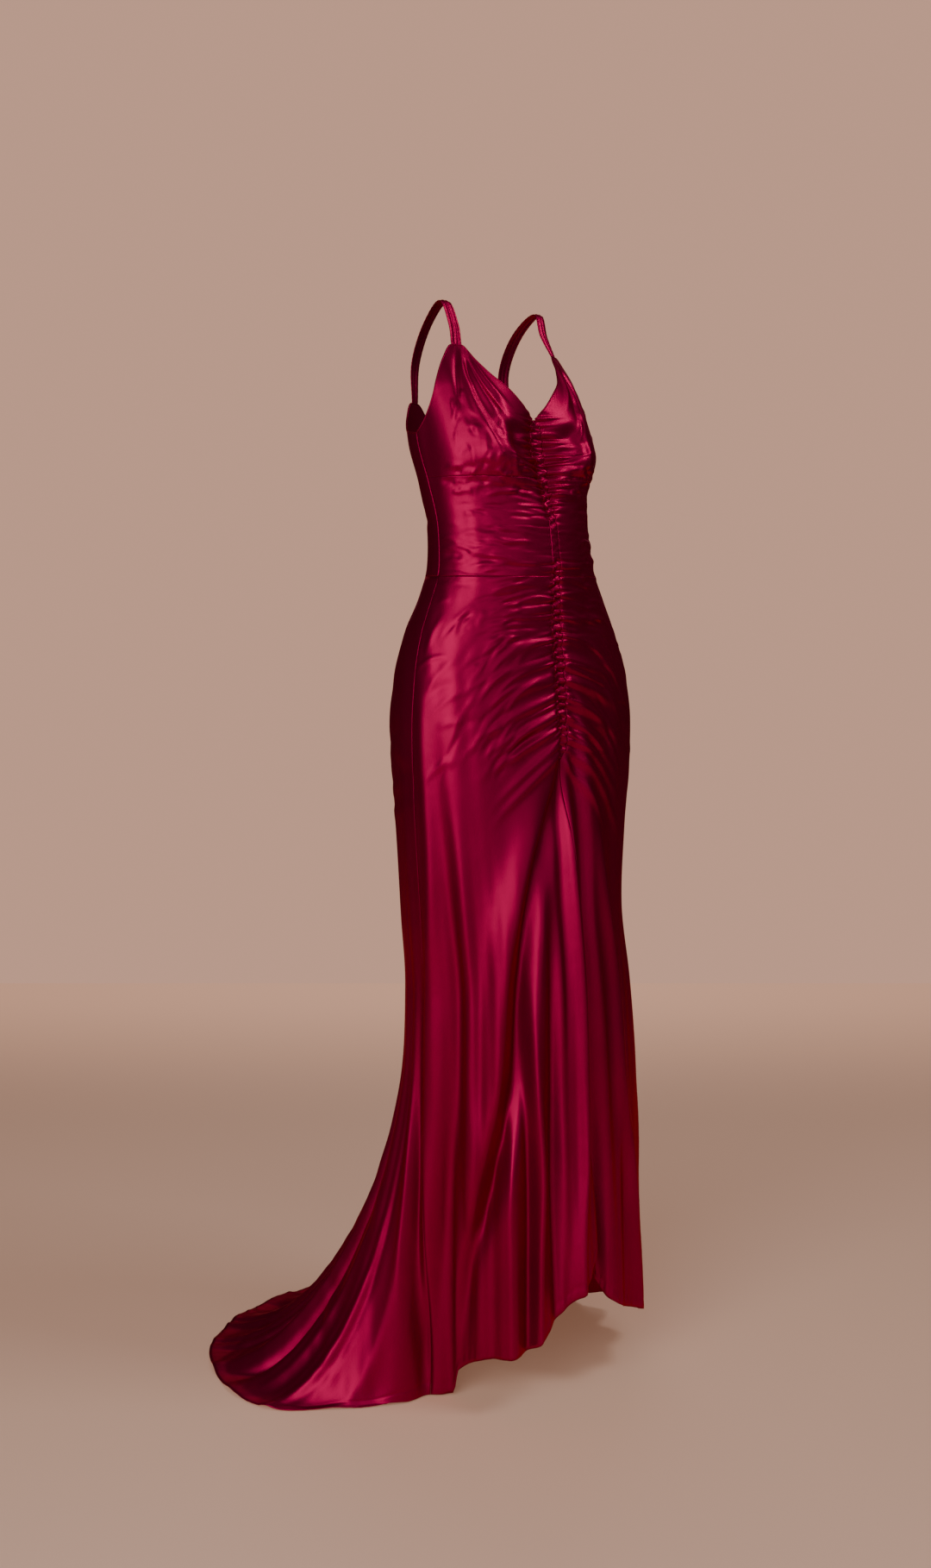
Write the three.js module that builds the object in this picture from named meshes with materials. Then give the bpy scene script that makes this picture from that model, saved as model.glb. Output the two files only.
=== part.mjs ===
// A floor-length evening gown of bias-cut satin, hollow, in the pose in which its wearer holds it up.
// Shoulder straps carry two bust cups, a fitted midriff, and a skirt that falls into a small train.
// A narrow band runs down the centre front, and the cloth on both sides of it is gathered onto it.
// Its origin lies midway between the undersides of the two straps, where shoulders carry them.
// +X is the wearer's left, -Y is the front, +Z is up. All lengths are millimetres.
import * as THREE from "three";

// Driving dimensions. Heights are above the floor; levels are heights along the cloth.
const STRAP_HEIGHT = 1520; // floor to the underside of the straps on the shoulders
const SHOULDER_SETBACK = 35; // the shoulder line lies this far behind the sections' own axis
const NECK_POINT = 1362; // bottom of the V neckline
const STRAP_JOINT = 1459; // where the cups run out into the straps
const UNDERBUST_SEAM = 1280;
const WAIST_SEAM = 1147;
const GATHER_END = 912; // where the centre band ends and the long folds begin
const KNEE = 480; // below this level each line of cloth leaves the sections for the hem
const CLOTH = 2.2; // wall, measured along the plain form's normal
const SEAM_GAP = 0.3;
const SEAM_RADIUS = 140; // about how far the side and back seams lie from the middle
const BAND_HALF_WIDTH = 5;
const BAND_TAPER = 14; // length of the band's two pointed ends
const GATHER_PITCH = 10.6; // from one small gather to the next, down the centre front
const GATHER_REACH = 26; // the small gathers die away over this distance from the band
const SIDE_SEAM = 90; // degrees round from the centre front
const SIDE_SWING = 9; // each side seam has swung this far forward at the hem
const SLIT_ANGLE = 9; // the front seam has swung this far to the left at the hem
const SLIT_TOP = 420;
const SLIT_HALF_GAP = 5; // half of the front slit's opening at the hem
const STRAP_INNER_ANGLE = 42;
const STRAP_OUTER_ANGLE = 51;
const STRAP_BACK_ANGLE = 143;

const RADIANS = Math.PI / 180;

// Level sections of the plain form, from the knee up. centre is how far back the section's axis lies;
// right, left, front and back are its reach from there.
const SECTIONS = [
  { height: 400, centre: 0, right: 158, left: 214, front: 146, back: 113 },
  { height: 480, centre: 0, right: 157, left: 208, front: 142, back: 113 },
  { height: 565, centre: 0, right: 157, left: 200, front: 137, back: 120 },
  { height: 670, centre: 0, right: 164, left: 188, front: 129, back: 131 },
  { height: 790, centre: 0, right: 173, left: 206, front: 119, back: 138 },
  { height: 870, centre: 0, right: 178, left: 222, front: 113, back: 146 },
  { height: 940, centre: 0, right: 180, left: 226, front: 108, back: 151 },
  { height: 1010, centre: 0, right: 175, left: 215, front: 103, back: 143 },
  { height: 1070, centre: 0, right: 162, left: 190, front: 97, back: 122 },
  { height: 1115, centre: -1, right: 145, left: 163, front: 94, back: 103 },
  { height: 1160, centre: -2, right: 132, left: 140, front: 93, back: 92 },
  { height: 1210, centre: 2, right: 130, left: 131, front: 92, back: 86 },
  { height: 1272, centre: 13, right: 137, left: 137, front: 87, back: 85 },
  { height: 1330, centre: 27, right: 145, left: 148, front: 81, back: 86 },
  { height: 1400, centre: 37, right: 147, left: 150, front: 75, back: 81 },
  { height: 1480, centre: 46, right: 120, left: 120, front: 42, back: 72 },
];

// The cups, which stand forward of the sections.
const CUP = { side: 84, height: 1320, depth: 38, width: 43, above: 58, below: 31 };

// The hem all round: how far it reaches from the axis, how high it hangs, and how much it lies down.
const HEM = [
  { angle: -180, reach: 404, height: 0, lie: 1 },
  { angle: -170, reach: 414, height: 0, lie: 1 },
  { angle: -159, reach: 432, height: 0, lie: 1 },
  { angle: -148, reach: 443, height: 0, lie: 1 },
  { angle: -138, reach: 446, height: 0, lie: 1 },
  { angle: -128, reach: 432, height: 0, lie: 1 },
  { angle: -120, reach: 416, height: 0, lie: 1 },
  { angle: -111, reach: 392, height: 0, lie: 1 },
  { angle: -104, reach: 357, height: 0, lie: 1 },
  { angle: -99, reach: 302, height: 0, lie: 1 },
  { angle: -94, reach: 260, height: 0, lie: 1 },
  { angle: -88, reach: 208, height: 0, lie: 0.9 },
  { angle: -83, reach: 180, height: 0, lie: 0.6 },
  { angle: -78, reach: 160, height: 0, lie: 0.2 },
  { angle: -75, reach: 150, height: 4, lie: 0 },
  { angle: -71, reach: 154, height: 42, lie: 0 },
  { angle: -52, reach: 166, height: 72, lie: 0 },
  { angle: -35, reach: 170, height: 82, lie: 0 },
  { angle: -28, reach: 170, height: 94, lie: 0 },
  { angle: -20, reach: 171, height: 118, lie: 0 },
  { angle: -10, reach: 170, height: 146, lie: 0 },
  { angle: -1, reach: 168, height: 164, lie: 0 },
  { angle: 4, reach: 167, height: 188, lie: 0 },
  { angle: 9, reach: 167, height: 212, lie: 0 },
  { angle: 13, reach: 170, height: 168, lie: 0 },
  { angle: 18, reach: 176, height: 128, lie: 0 },
  { angle: 24, reach: 177, height: 112, lie: 0 },
  { angle: 34, reach: 183, height: 98, lie: 0 },
  { angle: 52, reach: 200, height: 72, lie: 0 },
  { angle: 80, reach: 220, height: 48, lie: 0 },
  { angle: 105, reach: 244, height: 20, lie: 0.4 },
  { angle: 125, reach: 276, height: 0, lie: 1 },
  { angle: 150, reach: 332, height: 0, lie: 1 },
  { angle: 180, reach: 404, height: 0, lie: 1 },
];

// The top edge of the cups and of the back, as heights.
const FRONT_EDGE = [
  { angle: 0, height: NECK_POINT },
  { angle: 7.5, height: 1379 },
  { angle: 17, height: 1402 },
  { angle: 25, height: 1418 },
  { angle: 33, height: 1438 },
  { angle: STRAP_INNER_ANGLE, height: STRAP_JOINT },
  { angle: STRAP_OUTER_ANGLE, height: STRAP_JOINT },
  { angle: 58, height: 1441 },
  { angle: 67, height: 1402 },
  { angle: 77, height: 1367 },
  { angle: 85, height: 1347 },
  { angle: SIDE_SEAM, height: 1340 },
];
const BACK_EDGE = [
  { angle: SIDE_SEAM, height: 1340 },
  { angle: 108, height: 1342 },
  { angle: 126, height: 1364 },
  { angle: STRAP_BACK_ANGLE - 4, height: 1388 },
  { angle: STRAP_BACK_ANGLE + 4, height: 1388 },
  { angle: 162, height: 1358 },
  { angle: 180, height: 1344 },
];

// Long falling folds: ridges stand out and troughs have a negative depth. at and depth hold a fold's
// angle and depth at eight levels, FOLD_STEP apart from FOLD_TOP down to the hem, and width its width
// at the first and the last. lean is how much steeper it is on its left, where the cloth is folded over.
const FOLD_TOP = 1050;
const FOLD_STEP = 150;
const FALLS = [
  {
    name: "side ridge",
    at: [-80, -80, -80, -84, -85, -86, -88, -88],
    depth: [0, 3, 6, 9, 10, 10, 5, 1],
    width: [9, 13],
  },
  {
    name: "side edge",
    at: [-92, -92, -92, -94, -96, -91, -86, -82],
    depth: [0, 0, 0, 0, -4, -9, -12, -6],
    width: [5, 6],
  },
  {
    name: "train edge",
    at: [-100, -100, -100, -100, -100, -97, -93, -89],
    depth: [0, 0, 0, 0, 2, 6, 9, 4],
    width: [6, 9],
  },
  {
    name: "side hollow",
    at: [-70, -70, -69, -68, -70, -75, -78, -78],
    depth: [0, -1, -4, -10, -14, -15, -13, -8],
    width: [9, 14],
  },
  {
    name: "main left",
    at: [-62, -62, -60, -60, -61, -61, -60, -60],
    depth: [0, 1, 4, 7, 9, 7, 1, 0],
    width: [9, 9],
  },
  {
    name: "main swing",
    at: [0, -6, -26, -40, -46, -57, -62, -62],
    depth: [0, 5, 13, 15, 14, 8, 1, 0],
    width: [11, 12],
    lean: 0.5,
  },
  {
    name: "deep fold",
    at: [4, 1, -17, -31, -38, -50, -64, -69],
    depth: [0, -6, -15, -18, -17, -14, -10, -5],
    width: [9, 10],
    lean: -0.3,
  },
  {
    name: "lower ridge",
    at: [-36, -36, -36, -37, -39, -41, -41, -41],
    depth: [0, 0, 0, 0, 3, 13, 16, 15],
    width: [9, 11],
  },
  {
    name: "lower hollow",
    at: [-30, -30, -30, -30, -31, -31, -32, -33],
    depth: [0, 0, 0, 0, -8, -14, -14, -12],
    width: [6, 7],
  },
  {
    name: "thin ridge",
    at: [-24, -24, -24, -25, -25, -24, -26, -27],
    depth: [0, 0, 0, 2, 9, 12, 11, 8],
    width: [5, 6],
  },
  {
    name: "thin hollow",
    at: [-12, -10, -8, -12, -14, -16, -17, -18],
    depth: [0, 0, -5, -11, -15, -16, -14, -10],
    width: [9, 9],
  },
  {
    name: "faint hollow",
    at: [0, 0, -3, -4, -6, -7, -9, -12],
    depth: [0, -3, -6, -6, -5, -4, -3, -2],
    width: [4, 5],
  },
  {
    name: "front ridge",
    at: [2, 2, 2, 3, 2, 0, -3, -5],
    depth: [0, 4, 9, 11, 12, 12, 11, 9],
    width: [4, 7],
  },
  {
    name: "slit hollow",
    at: [6, 6, 9, 10, 10, 12, 14, 15],
    depth: [0, -4, -9, -12, -16, -21, -25, -27],
    width: [5, 8],
  },
  {
    name: "inner ridge",
    at: [8, 9, 13, 15, 16, 16, 16, 16],
    depth: [0, 3, 4, 3, 1, 0, 0, 0],
    width: [4, 4],
  },
  {
    name: "left ridge",
    at: [10, 11, 19, 27, 27, 32, 38, 41],
    depth: [0, 4, 10, 13, 15, 16, 15, 14],
    width: [6, 10],
  },
  {
    name: "left hollow",
    at: [24, 26, 33, 38, 39, 46, 53, 56],
    depth: [0, -2, -5, -8, -10, -11, -11, -10],
    width: [8, 11],
  },
  {
    name: "left outer ridge",
    at: [44, 46, 48, 52, 54, 60, 66, 68],
    depth: [0, 2, 4, 6, 8, 8, 8, 8],
    width: [11, 14],
  },
  {
    name: "left side hollow",
    at: [66, 66, 67, 69, 71, 75, 79, 80],
    depth: [0, 0, -3, -6, -9, -11, -13, -13],
    width: [12, 14],
  },
  {
    name: "left side ridge",
    at: [82, 82, 83, 85, 86, 88, 91, 92],
    depth: [0, 1, 4, 7, 10, 12, 14, 14],
    width: [12, 15],
  },
  {
    name: "left back hollow",
    at: [99, 99, 99, 100, 101, 102, 104, 104],
    depth: [0, 0, -1, -5, -9, -12, -15, -6],
    width: [12, 20],
  },
  {
    name: "left back ridge",
    at: [114, 114, 114, 115, 116, 116, 117, 118],
    depth: [0, 0, 1, 5, 10, 13, 16, 7],
    width: [12, 26],
  },
];

// The folds of the train grow from nothing at the knee, and its hem lies almost flat on the floor.
const TRAIN = [
  { name: "train 1", from: 133, to: 135, depth: 15, width: [10, 22] },
  { name: "train 2", from: 148, to: 151, depth: 18, width: [10, 24] },
  { name: "train 3", from: 163, to: 167, depth: 16, width: [10, 24] },
  { name: "train 4", from: 179, to: 182, depth: 19, width: [10, 24] },
  { name: "train 5", from: -166, to: -163, depth: 16, width: [9, 21] },
  { name: "train 6", from: -154, to: -150, depth: 20, width: [9, 20] },
  { name: "train 7", from: -143, to: -139, depth: 15, width: [8, 17] },
  { name: "train 8", from: -133, to: -128, depth: 20, width: [8, 17] },
  { name: "train 9", from: -122, to: -117, depth: 16, width: [8, 15] },
  { name: "train 10", from: -111, to: -107, depth: 18, width: [8, 13] },
  { name: "train 11", from: -100, to: -98, depth: 12, width: [7, 10] },
];
const TRAIN_GROWTH = [0, 0, 0, 0.12, 0.5, 0.85, 1, 0.35];
const trainFold = ({ name, from, to, depth, width }) => ({
  name,
  at: TRAIN_GROWTH.map((_, i) => from + ((to - from) * i) / (TRAIN_GROWTH.length - 1)),
  depth: TRAIN_GROWTH.map((growth) => growth * depth),
  width,
});
const ALL_FALLS = [...FALLS, ...TRAIN.map(trainFold)];

// Swags that spread from the centre band: root is their height at the band, reach and drop where
// they end, and side is -1 for the wearer's right and 1 for the left.
const SWAGS = [
  { side: -1, root: 1062, reach: 100, drop: 22, depth: 1.6, width: 7 },
  { side: -1, root: 1036, reach: 110, drop: 33, depth: 2.2, width: 7 },
  { side: -1, root: 1012, reach: 120, drop: 46, depth: 2.8, width: 7 },
  { side: -1, root: 988, reach: 124, drop: 60, depth: 3.4, width: 6.5 },
  { side: -1, root: 963, reach: 127, drop: 66, depth: 4, width: 6.5 },
  { side: -1, root: 944, reach: 148, drop: 84, depth: 4.2, width: 6 },
  { side: -1, root: 928, reach: 124, drop: 112, depth: 4.2, width: 6.5 },
  { side: -1, root: 914, reach: 123, drop: 120, depth: 4.4, width: 7 },
  { side: 1, root: 1064, reach: 100, drop: 30, depth: 2.4, width: 7 },
  { side: 1, root: 1037, reach: 112, drop: 44, depth: 4, width: 7.5 },
  { side: 1, root: 1010, reach: 125, drop: 62, depth: 5.6, width: 8 },
  { side: 1, root: 986, reach: 122, drop: 88, depth: 6.2, width: 8 },
  { side: 1, root: 961, reach: 120, drop: 120, depth: 6.2, width: 8 },
  { side: 1, root: 938, reach: 122, drop: 126, depth: 6.2, width: 8 },
  { side: 1, root: 919, reach: 138, drop: 166, depth: 6, width: 9 },
  { side: 1, root: 902, reach: 80, drop: 160, depth: 5, width: 8 },
];

// How deep the small gathers are down the centre front. They calm down over the midriff.
const GATHERS = [
  { height: 912, depth: 2.3 },
  { height: 980, depth: 2.7 },
  { height: 1060, depth: 2.3 },
  { height: 1147, depth: 2 },
  { height: 1180, depth: 1.1 },
  { height: 1215, depth: 0.8 },
  { height: 1245, depth: 1.8 },
  { height: 1300, depth: 2.7 },
  { height: 1362, depth: 2 },
];

const clamp01 = (x) => Math.min(1, Math.max(0, x));
const ease = (x) => clamp01(x) ** 2 * (3 - 2 * clamp01(x));
const mix = (a, b, t) => a + (b - a) * t;
const bell = (x) => Math.exp(-0.5 * x * x);

// The value of one column of a table at x, on a smooth curve through its rows.
function read(table, key, x, column) {
  const last = table.length - 1;
  const at = THREE.MathUtils.clamp(x, table[0][key], table[last][key]);
  let i = 0;
  while (i < last - 1 && table[i + 1][key] < at) i += 1;
  const [before, from, to, after] = [i - 1, i, i + 1, i + 2].map(
    (n) => table[THREE.MathUtils.clamp(n, 0, last)],
  );
  const span = to[key] - from[key];
  const t = (at - from[key]) / span;
  const rise = (to[column] - from[column]) / span;
  const slope = (a, b) => {
    const other = b[key] === a[key] ? rise : (b[column] - a[column]) / (b[key] - a[key]);
    return other * rise <= 0 ? 0 : (2 * other * rise) / (other + rise);
  };
  const startSlope = before === from ? rise : slope(before, from);
  const endSlope = after === to ? rise : slope(to, after);
  return (
    from[column] * (1 + 2 * t) * (1 - t) ** 2 +
    startSlope * span * t * (1 - t) ** 2 +
    to[column] * t * t * (3 - 2 * t) +
    endSlope * span * t * t * (t - 1)
  );
}

const wrap = (angle) => angle - 360 * Math.round(angle / 360);

// A point of the level sections, with the cups.
function onSection(angle, height) {
  const turn = wrap(angle) * RADIANS;
  const side = Math.sin(turn);
  const ahead = Math.cos(turn);
  const value = (column) => read(SECTIONS, "height", height, column);
  const x = side * value(side < 0 ? "right" : "left");
  let y = value("centre") - ahead * value(ahead > 0 ? "front" : "back");
  const rise = height - CUP.height;
  const swell = bell((Math.abs(x) - CUP.side) / CUP.width) * bell(rise / (rise > 0 ? CUP.above : CUP.below));
  y -= CUP.depth * swell * ease(ahead * 2.5);
  return new THREE.Vector3(x, y, height);
}

// A point of the plain form. From the knee down each line of cloth swings out to the hem on one curve.
function plainForm(angle, level) {
  if (level >= KNEE) return onSection(angle, level);
  const step = 2;
  const knee = onSection(angle, KNEE);
  const above = onSection(angle, KNEE + step);
  const hem = (column) => read(HEM, "angle", wrap(angle), column);
  const [reach, hang, lie] = [hem("reach"), hem("height"), hem("lie")];
  const turn = angle * RADIANS;
  const end = new THREE.Vector3(reach * Math.sin(turn), -reach * Math.cos(turn), hang);
  const leave = knee.clone().addScaledVector(above.sub(knee), -KNEE / 3 / step);
  const arrive = end.clone().lerp(knee, mix(1 / 3, 0.64, lie));
  arrive.z = mix(mix(hang, KNEE, 1 / 3), hang, lie);
  const curve = new THREE.CubicBezierCurve3(knee, leave, arrive, end);
  return curve.getPoint(1 - level / KNEE);
}

// The plain form's outward normal.
function outward(angle, level) {
  const turn = 0.4;
  const rise = 3;
  const low = Math.max(0, level - rise);
  const along = plainForm(angle + turn, level).sub(plainForm(angle - turn, level));
  const up = plainForm(angle, level + rise).sub(plainForm(angle, low));
  return along.cross(up).normalize();
}

// The angle of the front seam, which swings to the wearer's left below the gathers.
const seamAngle = (level) => SLIT_ANGLE * ease((GATHER_END - level) / 500);
const radiusAt = (level) => {
  const point = plainForm(seamAngle(level), level);
  return Math.hypot(point.x, point.y - read(SECTIONS, "height", Math.max(level, KNEE), "centre"));
};
const degreesOf = (length, level) => length / radiusAt(level) / RADIANS;

// The value at a level of a list given at the eight levels of the folds, on a smooth curve.
function along(list, level) {
  const last = list.length - 1;
  const place = THREE.MathUtils.clamp((FOLD_TOP - level) / FOLD_STEP, 0, last);
  const i = Math.min(Math.floor(place), last - 1);
  const [a, b, c, d] = [i - 1, i, i + 1, i + 2].map((n) => list[THREE.MathUtils.clamp(n, 0, last)]);
  const t = place - i;
  const bend = (2 * a - 5 * b + 4 * c - d) * t * t + (3 * b - a - 3 * c + d) * t ** 3;
  return b + 0.5 * ((c - a) * t + bend);
}

function fallDepth(fold, angle, level, radius) {
  if (level >= FOLD_TOP) return 0;
  const away = wrap(angle - along(fold.at, level)) * RADIANS * radius;
  const lean = (fold.lean ?? 0) * Math.sign(away);
  const width = mix(...fold.width, 1 - level / FOLD_TOP) * (1 - lean);
  return along(fold.depth, level) * bell(away / width);
}

function swagDepth(swag, angle, level, arc) {
  const out = (arc * Math.sign(wrap(angle)) * swag.side) / swag.reach;
  if (out <= 0 || out >= 1) return 0;
  const centre = swag.root - swag.drop * out ** 0.9;
  const strength = ease(out * 12) * (1 - ease((out - 0.25) / 0.75));
  return swag.depth * strength * bell((level - centre) / swag.width);
}

// The small gathers beside the centre band, which stand out where the wave is 1.
const gatherWave = (level) => Math.cos((2 * Math.PI * (WAIST_SEAM - level)) / GATHER_PITCH);
function gatherDepth(level, arc) {
  const inside = ease((level - GATHER_END + 12) / 30) * ease((NECK_POINT + 25 - level) / 25);
  const deep = read(GATHERS, "height", level, "depth");
  const root = ease(arc / BAND_HALF_WIDTH);
  const fade = Math.exp(-Math.max(0, arc - BAND_HALF_WIDTH) / GATHER_REACH);
  return inside * mix(0.7, 1, root) * fade * deep * gatherWave(level);
}

// How far the folded cloth stands out from the plain form.
function foldDepth(angle, level) {
  const form = plainForm(angle, level);
  const radius = Math.hypot(form.x, form.y);
  const arc = Math.abs(wrap(angle)) * RADIANS * radius;
  let depth = gatherDepth(level, arc);
  for (const fold of ALL_FALLS) depth += fallDepth(fold, angle, level, radius);
  for (const swag of SWAGS) depth += swagDepth(swag, angle, level, arc);
  return depth;
}

// The outer and inner points of the wall, in the part's frame. What lies down keeps to the floor.
function wallPoints(angle, level, raise = 0) {
  const out = outward(angle, level);
  const outer = plainForm(angle, level).addScaledVector(out, foldDepth(angle, level) + raise);
  const inner = outer.clone().addScaledVector(out, -CLOTH);
  outer.z = Math.max(outer.z, CLOTH);
  inner.z = Math.max(inner.z, 0);
  return [outer, inner].map((p) => new THREE.Vector3(p.x, p.y - SHOULDER_SETBACK, p.z - STRAP_HEIGHT));
}

// A closed mesh from an outer and an inner skin with the same triangles, and a rim round both.
function closedWall(outer, inner, faces, rim) {
  const count = outer.length;
  const all = [...outer, ...inner].flatMap((p) => [p.x, p.y, p.z]);
  const index = [];
  for (const [a, b, c] of faces) index.push(a, b, c, a + count, c + count, b + count);
  rim.forEach((a, i) => {
    const b = rim[(i + 1) % rim.length];
    index.push(b, a, a + count, b, a + count, b + count);
  });
  const geometry = new THREE.BufferGeometry();
  geometry.setAttribute("position", new THREE.Float32BufferAttribute(all, 3));
  geometry.setIndex(index);
  return geometry;
}

// A panel of cloth from columns that run down it. Each column is a list of { angle, level } from its
// top to its bottom; two neighbours may have different numbers of points.
function panel(columns, raise = 0) {
  const outer = [];
  const inner = [];
  const rows = columns.map((column) =>
    column.map(({ angle, level, lift = raise }) => {
      const [out, back] = wallPoints(angle, level, lift);
      outer.push(out);
      inner.push(back);
      return outer.length - 1;
    }),
  );
  const faces = [];
  for (let c = 0; c + 1 < rows.length; c += 1) {
    const [left, right] = [rows[c], rows[c + 1]];
    const share = (column, i) => {
      const [top, here, bottom] = [column[0], column[i], column[column.length - 1]];
      return (top.level - here.level) / (top.level - bottom.level);
    };
    let [i, j] = [0, 0];
    while (i < left.length - 1 || j < right.length - 1) {
      const stepLeft =
        j === right.length - 1 ||
        (i < left.length - 1 && share(columns[c], i + 1) <= share(columns[c + 1], j + 1) + 1e-9);
      if (stepLeft) {
        faces.push([left[i], left[i + 1], right[j]]);
        i += 1;
      } else {
        faces.push([left[i], right[j + 1], right[j]]);
        j += 1;
      }
    }
  }
  const bottom = rows.map((row) => row[row.length - 1]);
  const top = rows.map((row) => row[0]);
  const rim = [
    ...rows[0],
    ...bottom.slice(1),
    ...rows[rows.length - 1].slice(0, -1).reverse(),
    ...top.slice(1, -1).reverse(),
  ];
  return closedWall(outer, inner, faces, rim);
}

const spread = (from, to, steps) => Array.from({ length: steps + 1 }, (_, i) => mix(from, to, i / steps));

// Half of the band's width at a level, between its two pointed ends.
const bandHalf = (level) => {
  const ends = ease((level - GATHER_END + BAND_TAPER) / BAND_TAPER) * ease((NECK_POINT - level) / BAND_TAPER);
  return mix(1, BAND_HALF_WIDTH, ends);
};

// The edge of a front panel beside the band, and below it beside the seam and the open slit.
function frontEdgeAngle(level, side) {
  const slit = SLIT_HALF_GAP * ease((SLIT_TOP - level) / SLIT_TOP);
  const clear = level >= GATHER_END - BAND_TAPER ? bandHalf(level) + SEAM_GAP : SEAM_GAP / 2 + slit;
  return seamAngle(level) + side * degreesOf(clear, level);
}

// The angle of a side seam, for the piece in front of it or, with a negative gap, behind it.
const sideAngle = (level, gap) => {
  const swing = SIDE_SWING * ease((KNEE - level) / KNEE);
  return SIDE_SEAM - swing - gap / SEAM_RADIUS / RADIANS;
};

// Levels at every crest and hollow of the small gathers between two heights.
function gatherLevels(top, bottom) {
  const half = GATHER_PITCH / 2;
  const first = Math.ceil((WAIST_SEAM - top) / half + 0.4);
  const last = Math.floor((WAIST_SEAM - bottom) / half - 0.4);
  const crests = Array.from({ length: last - first + 1 }, (_, i) => WAIST_SEAM - (first + i) * half);
  return [top, ...crests, bottom];
}

// One half of the front between two levels: side -1 is the wearer's right. Columns beside the band
// follow every gather, and columns further out have fewer rows.
function frontHalf(side, top, bottom, shares, rowsAt) {
  const columns = shares.map((share) => {
    const start = frontEdgeAngle(bottom === 0 ? GATHER_END : bottom, side);
    const roughAngle = Math.abs(mix(start, side * SIDE_SEAM, share));
    const topLevel = typeof top === "function" ? top(roughAngle) : top;
    return rowsAt(share, topLevel).map((level) => ({
      level,
      angle: mix(frontEdgeAngle(level, side), side * sideAngle(level, SEAM_GAP / 2), share),
    }));
  });
  return side < 0 ? columns.reverse() : columns;
}

// Shares of the way round from the centre front to the side seam. Every small gather is followed up to
// NEAR_BAND, and the swags up to SWAG_END.
const NEAR_BAND = 0.15;
const SWAG_END = 0.64;
const NEAR_SHARES = [0, 0.035, 0.085, NEAR_BAND];
const SKIRT_SHARES = [...NEAR_SHARES, ...spread(0.19, 0.63, 10), ...spread(0.68, 1, 6)];
const SKIRT_TOP = WAIST_SEAM - SEAM_GAP / 2;
const SIDE_ROWS = [...spread(SKIRT_TOP, GATHER_END, 7), ...spread(GATHER_END, 0, 13).slice(1)];

function skirtFront(side) {
  const tip = GATHER_END - BAND_TAPER;
  const below = [mix(GATHER_END, tip, 0.5), ...spread(tip, 0, 13)];
  const rowsAt = (share) => {
    if (share <= NEAR_BAND) return [...gatherLevels(SKIRT_TOP, GATHER_END), ...below];
    if (share <= SWAG_END) return [...spread(SKIRT_TOP, GATHER_END, 19), ...below.slice(1)];
    return SIDE_ROWS;
  };
  return panel(frontHalf(side, SKIRT_TOP, 0, SKIRT_SHARES, rowsAt));
}

function midriffFront(side) {
  const [top, bottom] = [UNDERBUST_SEAM - SEAM_GAP / 2, WAIST_SEAM + SEAM_GAP / 2];
  const shares = [...NEAR_SHARES, 0.25, ...spread(0.36, 1, 5)];
  const rowsAt = (share) => (share <= NEAR_BAND ? gatherLevels(top, bottom) : spread(top, bottom, 7));
  return panel(frontHalf(side, top, bottom, shares, rowsAt));
}

function cup(side) {
  const bottom = UNDERBUST_SEAM + SEAM_GAP / 2;
  const strapIn = STRAP_INNER_ANGLE / SIDE_SEAM;
  const strapOut = STRAP_OUTER_ANGLE / SIDE_SEAM;
  const shares = [...NEAR_SHARES, 0.23, 0.32, 0.41, strapIn, strapOut, ...spread(0.67, 1, 4)];
  const top = (angle) => read(FRONT_EDGE, "angle", angle, "height");
  const rowsAt = (share, topLevel) =>
    share <= NEAR_BAND ? gatherLevels(topLevel, bottom) : spread(topLevel, bottom, 11);
  return panel(frontHalf(side, top, bottom, shares, rowsAt));
}

function centreBand() {
  const top = NECK_POINT - 1;
  const levels = [...gatherLevels(top, GATHER_END), GATHER_END - BAND_TAPER / 2, GATHER_END - BAND_TAPER];
  const columns = [-1, 0, 1].map((place) =>
    levels.map((level) => ({
      level,
      angle: seamAngle(level) + place * degreesOf(bandHalf(level), level),
      lift: 1.2 * (1 - place * place),
    })),
  );
  return panel(columns);
}

// The seam down the middle of the back, as the angle at which each half of the back ends.
const BACK_SEAM = 180 - SEAM_GAP / 2 / SEAM_RADIUS / RADIANS;

// One half of the bodice's back, from its side seam to the seam down the middle.
function bodiceBack(side) {
  const edge = sideAngle(WAIST_SEAM, -SEAM_GAP / 2);
  const angles = [edge, 99, 108, 117, 126, 133, 139, 147, 154, 162, 171, BACK_SEAM];
  const columns = angles.map((angle) => {
    const top = read(BACK_EDGE, "angle", angle, "height");
    const upper = spread(top, UNDERBUST_SEAM, 3);
    const lower = spread(UNDERBUST_SEAM, WAIST_SEAM + SEAM_GAP / 2, 4).slice(1);
    return [...upper, ...lower].map((level) => ({ level, angle: side * angle }));
  });
  return panel(side < 0 ? columns.reverse() : columns);
}

// One half of the skirt's back, from its side seam to the seam down the middle.
function skirtBack(side) {
  const steps = side < 0 ? 34 : 26;
  const levels = [...spread(SKIRT_TOP, KNEE, 7), ...spread(KNEE, 0, 10).slice(1)];
  const columns = spread(0, 1, steps).map((share) =>
    (share === 0 ? SIDE_ROWS : levels).map((level) => ({
      level,
      angle: side * mix(sideAngle(level, -SEAM_GAP / 2), BACK_SEAM, share),
    })),
  );
  return panel(side < 0 ? columns.reverse() : columns);
}

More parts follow.
